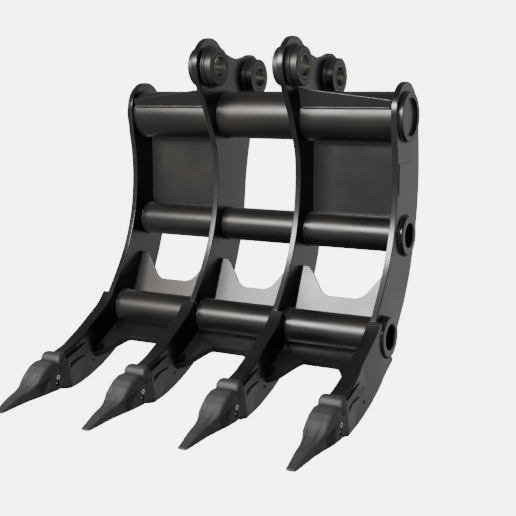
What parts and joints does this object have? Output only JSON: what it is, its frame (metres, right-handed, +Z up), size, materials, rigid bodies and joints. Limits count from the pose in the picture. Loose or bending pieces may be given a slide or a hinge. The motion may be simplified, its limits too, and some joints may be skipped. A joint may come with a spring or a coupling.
{
  "type": "excavator tine rake",
  "caption": "Pin-on tine rake for an excavator: curved steel tines joined by cross tubes, with ears for the stick and link pins and replaceable tooth points on adapters.",
  "frame": {"origin": "the middle of the stick pin's axis, halfway between the two ears", "axes": "+X along the cross tubes and the pins, to the right seen from the teeth; +Y from the tooth tips towards the back; +Z up, as the rake hangs with its teeth pointing forwards"},
  "size_m": [1.279, 1.2594, 1.3646],
  "materials": {
    "frame_paint": "satin charcoal paint on welded steel plate",
    "tube_paint": "satin charcoal paint on steel pipe, a little smoother and warmer",
    "back_plate_paint": "satin charcoal paint on thin sheet, slightly warmer",
    "casting_paint": "charcoal paint over cast steel, slightly rougher",
    "bushing_steel": "dark machined steel with a thin film of grease",
    "lock_steel": "dark machined steel"
  },
  "bodies": {
    "rake_frame": {"adapter_left_inner": "casting_paint", "adapter_left_outer": "casting_paint", "adapter_right_inner": "casting_paint", "adapter_right_outer": "casting_paint", "blank_id_plate": "frame_paint", "link_boss_left_inside": "frame_paint", "link_boss_left_outside": "frame_paint", "link_boss_right_inside": "frame_paint", "link_boss_right_outside": "frame_paint", "link_bushing_left": "bushing_steel", "link_bushing_right": "bushing_steel", "lower_back_plate_left": "back_plate_paint", "lower_back_plate_middle": "back_plate_paint", "lower_back_plate_right": "back_plate_paint", "lower_front_plate_left": "frame_paint", "lower_front_plate_middle": "frame_paint", "lower_front_plate_right": "frame_paint", "lower_tube": "tube_paint", "lower_tube_end_ring_left": "frame_paint", "lower_tube_end_ring_right": "frame_paint", "mid_tube": "tube_paint", "mid_tube_end_ring_left": "frame_paint", "mid_tube_end_ring_right": "frame_paint", "shank_left_inner": "frame_paint", "shank_left_outer": "frame_paint", "shank_right_inner": "frame_paint", "shank_right_outer": "frame_paint", "stick_boss_left_inside": "frame_paint", "stick_boss_left_outside": "frame_paint", "stick_boss_right_inside": "frame_paint", "stick_boss_right_outside": "frame_paint", "stick_bushing_left": "bushing_steel", "stick_bushing_right": "bushing_steel", "tine_plate_left_inner": "frame_paint", "tine_plate_left_outer": "frame_paint", "tine_plate_right_inner": "frame_paint", "tine_plate_right_outer": "frame_paint", "top_gusset_left": "frame_paint", "top_gusset_right": "frame_paint", "top_tube": "tube_paint", "top_tube_end_disc_left": "frame_paint", "top_tube_end_disc_right": "frame_paint", "upper_back_plate_left": "back_plate_paint", "upper_back_plate_right": "back_plate_paint"},
    "tooth_left_outer": {"tooth_point_left_outer": "casting_paint"},
    "lock_left_outer": {"tooth_lock_left_outer": "lock_steel"},
    "tooth_left_inner": {"tooth_point_left_inner": "casting_paint"},
    "lock_left_inner": {"tooth_lock_left_inner": "lock_steel"},
    "tooth_right_inner": {"tooth_point_right_inner": "casting_paint"},
    "lock_right_inner": {"tooth_lock_right_inner": "lock_steel"},
    "tooth_right_outer": {"tooth_point_right_outer": "casting_paint"},
    "lock_right_outer": {"tooth_lock_right_outer": "lock_steel"}
  },
  "joints": [
    {"name": "tooth_slide_left_outer", "type": "slide", "parent": "rake_frame", "child": "tooth_left_outer", "axis": [0, -0.9744, -0.225], "range_m": [0, 0.14]},
    {"name": "tooth_slide_left_inner", "type": "slide", "parent": "rake_frame", "child": "tooth_left_inner", "axis": [0, -0.9744, -0.225], "range_m": [0, 0.14]},
    {"name": "tooth_slide_right_inner", "type": "slide", "parent": "rake_frame", "child": "tooth_right_inner", "axis": [0, -0.9744, -0.225], "range_m": [0, 0.14]},
    {"name": "tooth_slide_right_outer", "type": "slide", "parent": "rake_frame", "child": "tooth_right_outer", "axis": [0, -0.9744, -0.225], "range_m": [0, 0.14]},
    {"name": "lock_turn_left_outer", "type": "hinge", "parent": "tooth_left_outer", "child": "lock_left_outer", "pos_m": [-0.55, -0.54191, -1.17934], "axis": [1, 0, 0], "range_deg": [0, 90]},
    {"name": "lock_turn_left_inner", "type": "hinge", "parent": "tooth_left_inner", "child": "lock_left_inner", "pos_m": [-0.156, -0.54191, -1.17934], "axis": [1, 0, 0], "range_deg": [0, 90]},
    {"name": "lock_turn_right_inner", "type": "hinge", "parent": "tooth_right_inner", "child": "lock_right_inner", "pos_m": [0.238, -0.54191, -1.17934], "axis": [1, 0, 0], "range_deg": [0, 90]},
    {"name": "lock_turn_right_outer", "type": "hinge", "parent": "tooth_right_outer", "child": "lock_right_outer", "pos_m": [0.632, -0.54191, -1.17934], "axis": [1, 0, 0], "range_deg": [0, 90]}
  ]
}
